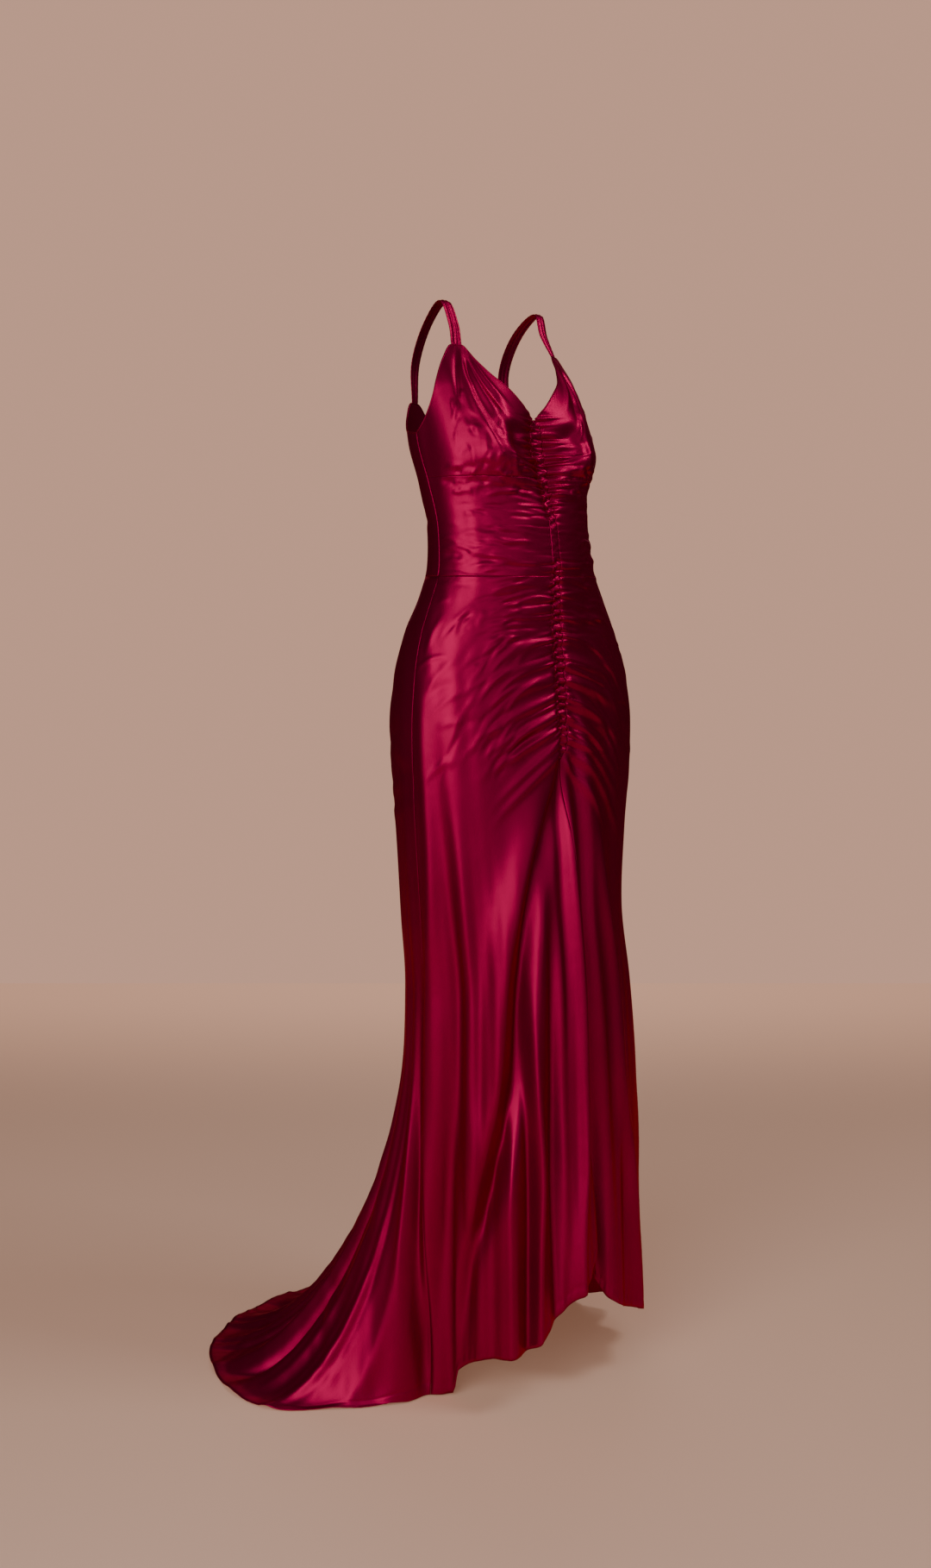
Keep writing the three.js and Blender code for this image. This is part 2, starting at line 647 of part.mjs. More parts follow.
// A strap from the top of a cup over the shoulder to the back. Its two edges are smooth curves.
const STRAP_EDGES = [
  { inner: [78, 18, 1490], outer: [95, 20, 1489] },
  { inner: [81, 35, 1522.2], outer: [98, 36, 1522.2] },
  { inner: [77, 74, 1499], outer: [95, 72, 1498] },
  { inner: [76, 104, 1446], outer: [94, 101, 1444] },
];
function strap(side) {
  const end = (angle, height) => wallPoints(side * angle, height)[0];
  const backTop = read(BACK_EDGE, "angle", STRAP_BACK_ANGLE, "height") + SEAM_GAP;
  const place = ([x, y, z]) => new THREE.Vector3(side * x, y - SHOULDER_SETBACK, z - STRAP_HEIGHT);
  const rail = (key, frontAngle, backAngle) =>
    new THREE.CatmullRomCurve3([
      end(frontAngle, STRAP_JOINT + SEAM_GAP),
      ...STRAP_EDGES.map((row) => place(row[key])),
      end(backAngle, backTop),
    ]).getSpacedPoints(22);
  const inner = rail("inner", STRAP_INNER_ANGLE, STRAP_BACK_ANGLE + 4);
  const outer = rail("outer", STRAP_OUTER_ANGLE, STRAP_BACK_ANGLE - 4);
  const [over, under] = [[], []];
  const faces = [];
  inner.forEach((point, i) => {
    const across = outer[i].clone().sub(point);
    const ahead = inner[Math.min(i + 1, 22)].clone().sub(inner[Math.max(i - 1, 0)]);
    const up = ahead.cross(across).normalize().multiplyScalar(-side);
    for (const top of [point, outer[i]]) {
      over.push(top);
      under.push(top.clone().addScaledVector(up, -CLOTH));
    }
    if (i === 0) return;
    const [a, b, c, d] = [2 * i - 2, 2 * i - 1, 2 * i, 2 * i + 1];
    faces.push(side > 0 ? [a, b, d] : [a, d, b], side > 0 ? [a, d, c] : [a, c, d]);
  });
  const going = inner.map((_, i) => 2 * i);
  const coming = inner.map((_, i) => 2 * (inner.length - 1 - i) + 1);
  const loop = [...going, ...coming];
  return closedWall(over, under, faces, side > 0 ? loop.reverse() : loop);
}

const SATIN = { color: 0x8a0f35, roughness: 0.36, metalness: 0 };
const gown = new THREE.Group();
function add(name, geometry) {
  const mesh = new THREE.Mesh(geometry, new THREE.MeshStandardMaterial(SATIN));
  mesh.name = name;
  gown.add(mesh);
}

for (const [side, hand] of [[-1, "right"], [1, "left"]]) {
  add(`cup_${hand}`, cup(side));
  add(`midriff_${hand}`, midriffFront(side));
  add(`skirt_front_${hand}`, skirtFront(side));
  add(`skirt_back_${hand}`, skirtBack(side));
  add(`bodice_back_${hand}`, bodiceBack(side));
  add(`strap_${hand}`, strap(side));
}
add("centre_band", centreBand());

export default gown;
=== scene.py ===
# %% [markdown]
# # A bias-cut evening gown in crimson satin
#
# The gown is cloth alone: cups, midriff, skirt and straps, hollow as when it is worn. The frame
# holds it as plain solids. This script lays finer cloth on the same form, piece by piece, with the
# puckers, drapes and folds that make satin look like satin.

# %% Load the fixed frame
import math
import random

import bpy
import numpy as np
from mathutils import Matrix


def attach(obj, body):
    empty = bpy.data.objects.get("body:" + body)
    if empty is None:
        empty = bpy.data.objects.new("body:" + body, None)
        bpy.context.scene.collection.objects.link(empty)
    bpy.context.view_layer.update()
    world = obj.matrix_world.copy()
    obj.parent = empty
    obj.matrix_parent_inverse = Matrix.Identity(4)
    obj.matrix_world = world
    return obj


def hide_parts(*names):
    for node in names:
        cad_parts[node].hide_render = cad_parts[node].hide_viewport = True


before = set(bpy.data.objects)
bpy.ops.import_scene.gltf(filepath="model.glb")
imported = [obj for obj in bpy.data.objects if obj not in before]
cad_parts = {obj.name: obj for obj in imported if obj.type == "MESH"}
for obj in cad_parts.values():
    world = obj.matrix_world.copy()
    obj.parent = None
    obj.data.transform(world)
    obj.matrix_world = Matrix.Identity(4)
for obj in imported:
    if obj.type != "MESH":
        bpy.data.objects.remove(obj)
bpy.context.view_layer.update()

# %% [markdown]
# ## The camera
#
# The camera comes first, so that every render can be set beside the photograph. It stands in front
# of the gown and to its right, at waist height, and looks slightly down. Its place is given as a
# distance and a direction, because those can be judged.

# %% The photograph's frame and the camera
MM = 0.001
STRAP_HEIGHT = 1520  # millimetres from the floor to the underside of the straps
SHOULDER_SETBACK = 35
FLOOR = -STRAP_HEIGHT * MM
PHOTO_HEIGHT = 1818
FOCAL_PIXELS = 2000
SENSOR_HEIGHT = 24.0
CAMERA_TURN = math.radians(-42)
CAMERA_TILT = math.radians(6)
CAMERA_DISTANCE = 2.447
CAMERA_ABOVE_FLOOR = 1.111
CAMERA_ASIDE = 0.061


def unit(turn):
    return np.array([math.sin(turn), -math.cos(turn), 0.0])


def place_camera():
    away = unit(CAMERA_TURN)
    right = np.array([math.cos(CAMERA_TURN), math.sin(CAMERA_TURN), 0.0])
    eye = np.array([0, -SHOULDER_SETBACK * MM, 0]) + away * CAMERA_DISTANCE - right * CAMERA_ASIDE
    eye[2] = FLOOR + CAMERA_ABOVE_FLOOR
    bpy.ops.object.camera_add(location=eye, rotation=(math.pi / 2 - CAMERA_TILT, 0, CAMERA_TURN))
    camera = bpy.context.object
    camera.data.sensor_fit = "VERTICAL"
    camera.data.sensor_height = SENSOR_HEIGHT
    camera.data.lens = SENSOR_HEIGHT * FOCAL_PIXELS / PHOTO_HEIGHT
    camera.data.clip_end = 60
    bpy.context.scene.camera = camera
    print("camera stands at", eye.round(3))


place_camera()

# %% [markdown]
# ## The plain form
#
# A few level sections give the gown's form, as a tailor measures bust, waist and hip. A table holds
# how far the cloth reaches to each side, and a smooth curve runs through its rows. Arrays of points
# go through these functions at once, which is fast enough for very fine cloth.

# %% Tables with named columns


class Table:
    """Rows of sizes under named columns, read on a smooth curve that never overshoots a row."""

    def __init__(self, columns, *rows):
        self.columns = columns.split()
        self.rows = np.array(rows, float)

    def read(self, column, at):
        places = self.rows[:, 0]
        sizes = self.rows[:, self.columns.index(column)]
        rise = np.diff(sizes) / np.diff(places)
        both = rise[:-1] * rise[1:]
        total = rise[:-1] + rise[1:]
        inner = np.where(both > 0, 2 * both / np.where(both > 0, total, 1), 0)
        slope = np.concatenate([rise[:1], inner, rise[-1:]])
        at = np.clip(at, places[0], places[-1])
        i = np.clip(np.searchsorted(places, at) - 1, 0, len(places) - 2)
        span = places[i + 1] - places[i]
        t = (at - places[i]) / span
        return (
            sizes[i] * (1 + 2 * t) * (1 - t) ** 2
            + slope[i] * span * t * (1 - t) ** 2
            + sizes[i + 1] * t * t * (3 - 2 * t)
            + slope[i + 1] * span * t * t * (t - 1)
        )


def ease(x):
    x = np.clip(x, 0, 1)
    return x * x * (3 - 2 * x)


def bell(x):
    return np.exp(-0.5 * np.square(x))


def mix(a, b, t):
    return a + (b - a) * t


def wrap(angle):
    return angle - 360 * np.round(angle / 360)


# %% Level sections, cups and hem, in millimetres
NECK_POINT = 1362
STRAP_JOINT = 1459
UNDERBUST_SEAM = 1280
WAIST_SEAM = 1147
GATHER_END = 912
KNEE = 480
SECTIONS = Table(
    "height centre right left front back",
    (400, 0, 158, 214, 146, 113),
    (480, 0, 157, 208, 142, 113),
    (565, 0, 157, 200, 137, 120),
    (670, 0, 164, 188, 129, 131),
    (790, 0, 173, 206, 119, 138),
    (870, 0, 178, 222, 113, 146),
    (940, 0, 180, 226, 108, 151),
    (1010, 0, 175, 215, 103, 143),
    (1070, 0, 162, 190, 97, 122),
    (1115, -1, 145, 163, 94, 103),
    (1160, -2, 132, 140, 93, 92),
    (1210, 2, 130, 131, 92, 86),
    (1272, 13, 137, 137, 87, 85),
    (1330, 27, 145, 148, 81, 86),
    (1400, 37, 147, 150, 75, 81),
    (1480, 46, 120, 120, 42, 72),
)
CUP_SIDE, CUP_HEIGHT, CUP_DEPTH, CUP_WIDTH, CUP_ABOVE, CUP_BELOW = 84, 1320, 38, 43, 58, 31
HEM = Table(
    "angle reach height lie",
    (-180, 404, 0, 1),
    (-170, 414, 0, 1),
    (-159, 432, 0, 1),
    (-148, 443, 0, 1),
    (-138, 446, 0, 1),
    (-128, 432, 0, 1),
    (-120, 416, 0, 1),
    (-111, 392, 0, 1),
    (-104, 357, 0, 1),
    (-99, 302, 0, 1),
    (-94, 260, 0, 1),
    (-88, 208, 0, 0.9),
    (-83, 180, 0, 0.6),
    (-78, 160, 0, 0.2),
    (-75, 150, 4, 0),
    (-71, 154, 42, 0),
    (-52, 166, 72, 0),
    (-35, 170, 82, 0),
    (-28, 170, 94, 0),
    (-20, 171, 118, 0),
    (-10, 170, 146, 0),
    (-1, 168, 164, 0),
    (4, 167, 188, 0),
    (9, 167, 212, 0),
    (13, 170, 168, 0),
    (18, 176, 128, 0),
    (24, 177, 112, 0),
    (34, 183, 98, 0),
    (52, 200, 72, 0),
    (80, 220, 48, 0),
    (105, 244, 20, 0.4),
    (125, 276, 0, 1),
    (150, 332, 0, 1),
    (180, 404, 0, 1),
)


def on_section(angle, height):
    turn = np.radians(wrap(angle))
    side, ahead = np.sin(turn), np.cos(turn)
    reach = {name: SECTIONS.read(name, height) for name in ("centre", "right", "left", "front", "back")}
    x = side * np.where(side < 0, reach["right"], reach["left"])
    y = reach["centre"] - ahead * np.where(ahead > 0, reach["front"], reach["back"])
    rise = height - CUP_HEIGHT
    swell = bell((np.abs(x) - CUP_SIDE) / CUP_WIDTH) * bell(rise / np.where(rise > 0, CUP_ABOVE, CUP_BELOW))
    y = y - CUP_DEPTH * swell * ease(ahead * 2.5)
    return np.stack([x, y, height + 0 * x], -1)


def plain_form(angle, level):
    """The cloth with no folds. From the knee down each line of it swings out to the hem."""
    above = on_section(angle, np.maximum(level, KNEE))
    step = 2
    knee = on_section(angle, KNEE + 0 * level)
    over = on_section(angle, KNEE + step + 0 * level)
    reach, hang, lie = (HEM.read(name, wrap(angle)) for name in ("reach", "height", "lie"))
    turn = np.radians(angle)
    end = np.stack([reach * np.sin(turn), -reach * np.cos(turn), hang], -1)
    leave = knee - (over - knee) * KNEE / 3 / step
    arrive = mix(end, knee, mix(1 / 3, 0.64, lie)[..., None])
    arrive[..., 2] = mix(mix(hang, KNEE, 1 / 3), hang, lie)
    t = np.clip(1 - level / KNEE, 0, 1)[..., None]
    below = (
        knee * (1 - t) ** 3 + 3 * leave * t * (1 - t) ** 2 + 3 * arrive * t * t * (1 - t) + end * t**3
    )
    return np.where((level >= KNEE)[..., None], above, below)


def outward(angle, level):
    turn, rise = 0.4, 3.0
    along = plain_form(angle + turn, level) - plain_form(angle - turn, level)
    up = plain_form(angle, level + rise) - plain_form(angle, np.maximum(0, level - rise))
    normal = np.cross(along, up)
    return normal / np.linalg.norm(normal, axis=-1, keepdims=True)


# %% [markdown]
# ## Folds
#
# Every fold is a row of numbers: where it starts and ends, how wide and how deep it is. Long folds
# fall from the gathers to the hem. Swags spread sideways from the gathered centre front. Puckers are
# the small waves beside it. Strokes are single creases drawn where the cloth pulls. A fold moves
# the cloth along its normal, so folds of all kinds simply add up.

# %% Long falling folds, in degrees round the gown and millimetres of depth and width
FOLD_TOP = 1050
FOLD_STEP = 150
FALLS = [
    # name, angles and depths at eight levels from the top to the hem, widths, lean
    ("side ridge", (-80, -80, -80, -84, -85, -86, -88, -88), (0, 3, 6, 9, 10, 10, 5, 1), (9, 13)),
    ("side edge", (-92, -92, -92, -94, -96, -91, -86, -82), (0, 0, 0, 0, -4, -9, -12, -6), (5, 6)),
    ("train edge", (-100, -100, -100, -100, -100, -97, -93, -89), (0, 0, 0, 0, 2, 6, 9, 4), (6, 9)),
    ("side hollow", (-70, -70, -69, -68, -70, -75, -78, -78), (0, -1, -4, -10, -14, -15, -13, -8), (9, 14)),
    ("main left", (-62, -62, -60, -60, -61, -61, -60, -60), (0, 1, 4, 7, 9, 7, 1, 0), (9, 9)),
    ("main swing", (0, -6, -26, -40, -46, -57, -62, -62), (0, 5, 13, 15, 14, 8, 1, 0), (11, 12), 0.5),
    ("deep fold", (4, 1, -17, -31, -38, -50, -64, -69), (0, -6, -19, -24, -22, -18, -12, -5), (9, 10), -0.3),
    ("lower ridge", (-36, -36, -36, -37, -39, -41, -41, -41), (0, 0, 0, 0, 3, 13, 16, 15), (9, 11)),
    ("lower hollow", (-30, -30, -30, -30, -31, -31, -32, -33), (0, 0, 0, 0, -9, -16, -16, -13), (5, 6)),
    ("thin ridge", (-24, -24, -24, -25, -25, -24, -26, -27), (0, 0, 0, 2, 9, 12, 11, 8), (5, 6)),
    ("thin hollow", (-12, -10, -8, -12, -14, -16, -17, -18), (0, 0, -6, -13, -17, -18, -16, -12), (8, 8)),
    ("faint hollow", (0, 0, -3, -4, -6, -7, -9, -12), (0, -3, -6, -6, -5, -4, -3, -2), (4, 5)),
    ("front ridge", (2, 2, 2, 3, 2, 0, -3, -5), (0, 4, 9, 12, 13, 13, 12, 10), (3.4, 5.5)),
    ("slit hollow", (6, 6, 9, 10, 10, 12, 14, 15), (0, -4, -9, -12, -16, -21, -25, -27), (5, 8)),
    ("inner ridge", (8, 9, 13, 15, 16, 16, 16, 16), (0, 3, 4, 3, 1, 0, 0, 0), (4, 4)),
    ("left ridge", (10, 11, 19, 27, 27, 32, 38, 41), (0, 4, 10, 13, 15, 16, 15, 14), (6, 10)),
    ("left hollow", (24, 26, 33, 38, 39, 46, 53, 56), (0, -2, -5, -8, -10, -11, -11, -10), (8, 11)),
    ("left outer ridge", (44, 46, 48, 52, 54, 60, 66, 68), (0, 2, 4, 6, 8, 8, 8, 8), (11, 14)),
    ("left side hollow", (66, 66, 67, 69, 71, 75, 79, 80), (0, 0, -3, -6, -9, -11, -13, -13), (12, 14)),
    ("left side ridge", (82, 82, 83, 85, 86, 88, 91, 92), (0, 1, 4, 7, 10, 12, 14, 14), (12, 15)),
    ("left back hollow", (99, 99, 99, 100, 101, 102, 104, 104), (0, 0, -1, -5, -9, -12, -15, -6), (12, 20)),
    ("left back ridge", (114, 114, 114, 115, 116, 116, 117, 118), (0, 0, 1, 5, 10, 13, 16, 7), (12, 26)),
]
TRAIN = [
    # name, angle at the top and at the hem, depth, widths
    ("train 1", 133, 135, 15, (10, 22)),
    ("train 2", 148, 151, 18, (10, 24)),
    ("train 3", 163, 167, 16, (10, 24)),
    ("train 4", 179, 182, 19, (10, 24)),
    ("train 5", -166, -163, 16, (9, 21)),
    ("train 6", -154, -150, 20, (9, 20)),
    ("train 7", -143, -139, 15, (8, 17)),
    ("train 8", -133, -128, 20, (8, 17)),
    ("train 9", -122, -117, 16, (8, 15)),
    ("train 10", -111, -107, 18, (8, 13)),
    ("train 11", -100, -98, 12, (7, 10)),
]
TRAIN_GROWTH = (0, 0.03, 0.08, 0.2, 0.5, 0.85, 1, 0.35)


def growing(name, start, end, depth, widths, growth=TRAIN_GROWTH):
    return (name, tuple(np.linspace(start, end, len(growth))), tuple(depth * g for g in growth), widths)


def along(values, level):
    """The value at a level of a list given at the eight levels of the folds, on a smooth curve."""
    values = np.array(values, float)
    last = len(values) - 1
    place = np.clip((FOLD_TOP - level) / FOLD_STEP, 0, last)
    i = np.minimum(np.floor(place).astype(int), last - 1)
    a, b, c, d = (values[np.clip(i + n, 0, last)] for n in (-1, 0, 1, 2))
    t = place - i
    return b + 0.5 * ((c - a) * t + (2 * a - 5 * b + 4 * c - d) * t**2 + (3 * b - a - 3 * c + d) * t**3)


def fall_depth(fold, angle, level, radius):
    _, angles, depths, widths, *lean = fold
    away = np.radians(wrap(angle - along(angles, level))) * radius
    width = mix(*widths, 1 - level / FOLD_TOP) * (1 - sum(lean) * np.sign(away))
    return (level < FOLD_TOP) * along(depths, level) * bell(away / np.maximum(1, width))


# %% Swags from the centre front
SWAGS = Table(
    "side root reach drop depth width",
    (-1, 1062, 100, 22, 1.6, 7),
    (-1, 1036, 110, 33, 2.2, 7),
    (-1, 1012, 120, 46, 2.8, 7),
    (-1, 988, 124, 60, 3.4, 6.5),
    (-1, 963, 127, 66, 4, 6.5),
    (-1, 944, 148, 84, 4.2, 6),
    (-1, 928, 124, 112, 4.2, 6.5),
    (-1, 914, 123, 120, 4.4, 7),
    (1, 1064, 100, 30, 2.4, 7),
    (1, 1037, 112, 44, 4, 7.5),
    (1, 1010, 125, 62, 5.6, 8),
    (1, 986, 122, 88, 6.2, 8),
    (1, 961, 120, 120, 6.2, 8),
    (1, 938, 122, 126, 6.2, 8),
    (1, 919, 138, 166, 6, 9),
    (1, 902, 80, 160, 5, 8),
)


def swag_depth(row, angle, level, arc):
    side, root, reach, drop, depth, width = row
    out = arc * np.sign(wrap(angle)) * side / reach
    inside = (out > 0) & (out < 1)
    out = np.clip(out, 0, 1)
    centre = root - drop * out**0.9
    strength = ease(out * 12) * (1 - ease((out - 0.2) / 0.7))
    return inside * depth * strength * bell((level - centre) / (0.75 * width))


# %% [markdown]
# ## Puckers and creases
#
# The cloth is longer than the seam it is sewn to, so it bulges between the stitches. Each bulge gets
# its own size and length from chance numbers, because no two gathers are alike. The same seed is used
# every time, so that the gown always comes out the same.

# %% Puckers beside the centre front
BAND_HALF_WIDTH = 5
BAND_TAPER = 14
SEAM_GAP = 0.06
GATHER_PITCH = 10.6
GATHERS = Table(
    "height depth tilt groove spread",
    (898, 2.0, 1.6, 0, 3),
    (915, 3.2, 1.2, 3, 3.2),
    (944, 3.6, 0.85, 5, 3.8),
    (966, 3.6, 0.7, 5.5, 4),
    (1018, 3.4, 0.5, 5.5, 4),
    (1046, 3.2, 0.35, 5, 4),
    (1082, 3.0, 0.2, 4.5, 3.8),
    (1147, 3.0, 0, 4.2, 3.4),
    (1166, 2.0, 0, 2.4, 3),
    (1176, 0.5, 0, 0.2, 3),
    (1212, 0.5, 0, 0.2, 3),
    (1224, 2.2, 0, 4, 4),
    (1262, 3.2, -0.02, 7.5, 6),
    (1300, 3.6, -0.08, 11, 9),
    (1340, 3.0, -0.15, 8, 8),
    (1362, 2.0, -0.2, 3, 5),
    (1380, 0.6, -0.2, 1, 3),
)
CHANCE = random.Random(31)
PUCKER_COUNT = 97
PUCKER_REACHES = (7, 9, 11, 14, 18, 26, 40)
PUCKERS = {
    side: np.array(
        [
            (CHANCE.uniform(0.45, 1.3), CHANCE.choice(PUCKER_REACHES))
            for _ in range(PUCKER_COUNT)
        ]
    )
    for side in (-1, 1)
}


def pucker_depth(out, level):
    """Rounded crests between sharp valleys, out of step on the two sides of the centre."""
    arc = np.abs(out)
    root = level
    for _ in range(4):
        root = level + GATHERS.read("tilt", root) * arc
    total = 0
    for side, step in ((-1, 0), (1, 0.5)):
        place = (WAIST_SEAM - root) / GATHER_PITCH + step
        place = place + 0.2 * np.sin(place * 2.3 + arc * 0.05) + 0.13 * np.sin(place * 5.1 + 1)
        index = np.rint(place).astype(int)
        size, reach = np.moveaxis(PUCKERS[side][index % PUCKER_COUNT], -1, 0)
        crest = np.abs(np.cos(math.pi * (place - index))) ** 0.8
        fade = np.exp(-((arc / reach) ** 1.4))
        total = total + ease(0.5 + side * out / 6) * size * crest * fade
    inside = ease((level - GATHER_END + 12) / 30) * ease((NECK_POINT + 16 - level) / 20)
    return inside * 1.55 * GATHERS.read("depth", root) * (total - 0.35 * np.exp(-arc / 14))


MEANDER = 1.7


def groove_depth(out, level):
    meander = MEANDER * np.cos(2 * math.pi * (WAIST_SEAM - level) / GATHER_PITCH)
    return -GATHERS.read("groove", level) * bell((out - meander) / GATHERS.read("spread", level))


# %% Strokes, single creases from one place on the cloth to another
def stroke_depth(row, out, level):
    """A row is: out and level of its start, out and level of its end, depth, width."""
    x0, z0, x1, z1, depth, width = row
    long = math.hypot(x1 - x0, z1 - z0)
    t = ((out - x0) * (x1 - x0) + (level - z0) * (z1 - z0)) / long**2
    off = ((out - x0) * (z1 - z0) - (level - z0) * (x1 - x0)) / long
    off = off + 0.06 * long * np.sin(math.pi * np.clip(t, 0, 1))
    return depth * ease(t * 3.2 + 0.12) * ease((1 - t) * 2.2) * bell(off / width)


STRAP_GATHERS = [
    (66, 1456, 88, 1330, 1.8, 4.5),
    (70, 1456, 104, 1345, 1.6, 4),
    (63, 1456, 68, 1318, -1.9, 5),
    (60, 1456, 50, 1330, 1.5, 4.5),
    (57, 1454, 38, 1352, -1.6, 4),
    (74, 1456, 120, 1352, -2.0, 4),
    (55, 1450, 24, 1366, 2.0, 3.4),
    (64, 1440, 76, 1400, -1.6, 3),
]
HOLLOWS = [
    (20, 1356, 46, 1298, -9, 13),
    (12, 1330, 30, 1292, -5, 9),
]


def scattered(count, outs, levels, lengths, slope, depths, widths):
    """Rows for creases that lie at chance places inside a stretch of cloth."""
    rows = []
    for _ in range(count):
        x, z, long = CHANCE.uniform(*outs), CHANCE.uniform(*levels), CHANCE.uniform(*lengths)
        tilt = math.radians(CHANCE.uniform(*slope))
        depth = CHANCE.choice((-1, 1)) * CHANCE.uniform(*depths)
        ends = (x + long * math.cos(tilt), z - long * math.sin(tilt))
        rows.append((x, z, *ends, depth, CHANCE.uniform(*widths)))
    return rows


CREASED = [
    # count, distances from the centre, levels, lengths, slopes in degrees, depths, widths
    (22, (8, 60), (UNDERBUST_SEAM - 22, UNDERBUST_SEAM + 18), (12, 34), (-14, 14), (0.7, 1.5), (2, 3.2)),
    (16, (60, 150), (UNDERBUST_SEAM - 24, UNDERBUST_SEAM + 16), (14, 40), (-10, 10), (0.5, 1.2), (2, 3.4)),
    (46, (6, 60), (WAIST_SEAM + 6, UNDERBUST_SEAM - 10), (30, 90), (-5, 7), (0.35, 0.9), (1.6, 3)),
    (22, (50, 150), (WAIST_SEAM - 20, WAIST_SEAM + 60), (50, 120), (-6, 6), (0.4, 1.0), (2.4, 4.2)),
    (34, (6, 50), (1060, WAIST_SEAM), (30, 100), (-2, 22), (0.5, 1.2), (1.8, 3.2)),
    (24, (10, 60), (925, 1080), (60, 120), (34, 52), (0.6, 1.5), (2, 3.4)),
    (30, (50, 190), (900, 1130), (30, 120), (5, 55), (0.4, 1.1), (2.4, 5.5)),
    (26, (40, 135), (1285, 1400), (14, 60), (30, 120), (0.5, 1.4), (2.2, 4.5)),
    (26, (60, 150), (WAIST_SEAM + 4, UNDERBUST_SEAM - 4), (20, 70), (-12, 12), (0.3, 0.9), (2, 4)),
    (26, (230, 400), (WAIST_SEAM - 60, WAIST_SEAM + 90), (40, 130), (-16, 16), (0.6, 1.6), (3, 6)),
    (16, (240, 420), (820, 1060), (60, 160), (-40, 40), (0.5, 1.3), (5, 9)),
]
CREASES = {
    side: STRAP_GATHERS + HOLLOWS + [row for stretch in CREASED for row in scattered(*stretch)]
    for side in (-1, 1)
}
CREASES_END = GATHER_END - 100
BACK_SEAM_FADE = 25

# %% Thin folds between the large ones, in the train and the lower skirt
THIN_FOLDS = [
    growing("thin", at, at + CHANCE.uniform(-3, 3), CHANCE.uniform(4, 10) * CHANCE.choice((-1, -1, 1)),
            (2.5, CHANCE.uniform(3.5, 6)))
    for at in [*range(-176, -102, 4), *range(100, 178, 7)]
] + [
    growing("thin", at, at + CHANCE.uniform(-3, 3), CHANCE.uniform(1.2, 3) * CHANCE.choice((-1, 1)),
            (3.5, CHANCE.uniform(4, 7)), (0, 0, 0.1, 0.4, 0.7, 0.9, 1, 1))
    for at in range(-84, 84, 6)
]
ALL_FOLDS = FALLS + [growing(*row) for row in TRAIN] + THIN_FOLDS
RIPPLES = [
    # the first number is drawn and not used, so that the others keep their values
    (
        CHANCE.uniform(0, 2 * math.pi),
        2 * math.pi / CHANCE.uniform(26, 90),
        CHANCE.gauss(0, 0.35),
        CHANCE.uniform(0, 6),
    )
    for _ in range(14)
]
RIPPLE_HEIGHT = 0.09


def ripple_depth(out, level):
    """Faint waves of many sizes, mostly upright, which break up the highlights as real satin does."""
    total = 0
    for _, pitch, lean, shift in RIPPLES:
        total = total + np.sin(pitch * (out * math.cos(lean) + level * math.sin(lean) * 0.6) + shift)
    return total * RIPPLE_HEIGHT


print(len(ALL_FOLDS), "long and thin folds,", len(CREASES[1]), "creases on each side")

# %% [markdown]
# ## From folds to points
#
# All the depths are added up, and the cloth moves by the sum along the plain form's normal. Close to
# the floor the points are lifted gently, because cloth lies on a floor and never goes through it.


# %% How far the cloth stands out from the plain form
def fold_depth(angle, level):
    form = plain_form(angle, level)
    radius = np.hypot(form[..., 0], form[..., 1])
    out = np.radians(wrap(angle)) * radius
    arc = np.abs(out)
    depth = pucker_depth(out, level) + groove_depth(out, level) + ripple_depth(out, level)
    for fold in ALL_FOLDS:
        depth = depth + fall_depth(fold, angle, level, radius)
    for row in SWAGS.rows:
        depth = depth + swag_depth(row, angle, level, arc)
    if np.max(level) > CREASES_END:
        fade = ease((math.pi * radius - arc) / BACK_SEAM_FADE)
        for side, rows in CREASES.items():
            here = side * out
            for row in rows:
                depth = depth + (here > 0) * fade * stroke_depth(row, here, level)
    return depth


# %% The cloth's outer points, in metres in the frame
CLOTH = 2.2
FLOOR_SOFTNESS = 1.5


def cloth_points(angle, level, raised=0.0):
    depth = fold_depth(angle, level) + raised
    points = plain_form(angle, level) + outward(angle, level) * depth[..., None]
    clear = (points[..., 2] - CLOTH) / FLOOR_SOFTNESS
    points[..., 2] = CLOTH + FLOOR_SOFTNESS * np.logaddexp(0, clear)
    points -= (0, SHOULDER_SETBACK, STRAP_HEIGHT)
    return points * MM


# %% Seams and edges of the pieces
SIDE_SEAM = 90
SIDE_SWING = 9
SEAM_RADIUS = 140
SLIT_ANGLE = 9
SLIT_TOP = 420
SLIT_HALF_GAP = 5
STRAP_INNER_ANGLE, STRAP_OUTER_ANGLE, STRAP_BACK_ANGLE = 42, 51, 143
FRONT_EDGE = Table(
    "angle height",
    (0, NECK_POINT),
    (7.5, 1379),
    (17, 1402),
    (25, 1418),
    (33, 1438),
    (STRAP_INNER_ANGLE, STRAP_JOINT),
    (STRAP_OUTER_ANGLE, STRAP_JOINT),
    (58, 1441),
    (67, 1402),
    (77, 1367),
    (85, 1347),
    (SIDE_SEAM, 1340),
)
BACK_EDGE = Table(
    "angle height",
    (SIDE_SEAM, 1340),
    (108, 1342),
    (126, 1364),
    (STRAP_BACK_ANGLE - 4, 1388),
    (STRAP_BACK_ANGLE + 4, 1388),
    (162, 1358),
    (180, 1344),
)


def seam_angle(level):
    return SLIT_ANGLE * ease((GATHER_END - level) / 500)


def degrees_of(length, level):
    point = plain_form(seam_angle(level), level)
    radius = np.hypot(point[..., 0], point[..., 1] - SECTIONS.read("centre", np.maximum(level, KNEE)))
    return np.degrees(length / radius)


def band_half(level):
    ends = ease((level - GATHER_END + BAND_TAPER) / BAND_TAPER) * ease((NECK_POINT - level) / BAND_TAPER)
    return mix(1, BAND_HALF_WIDTH, ends)


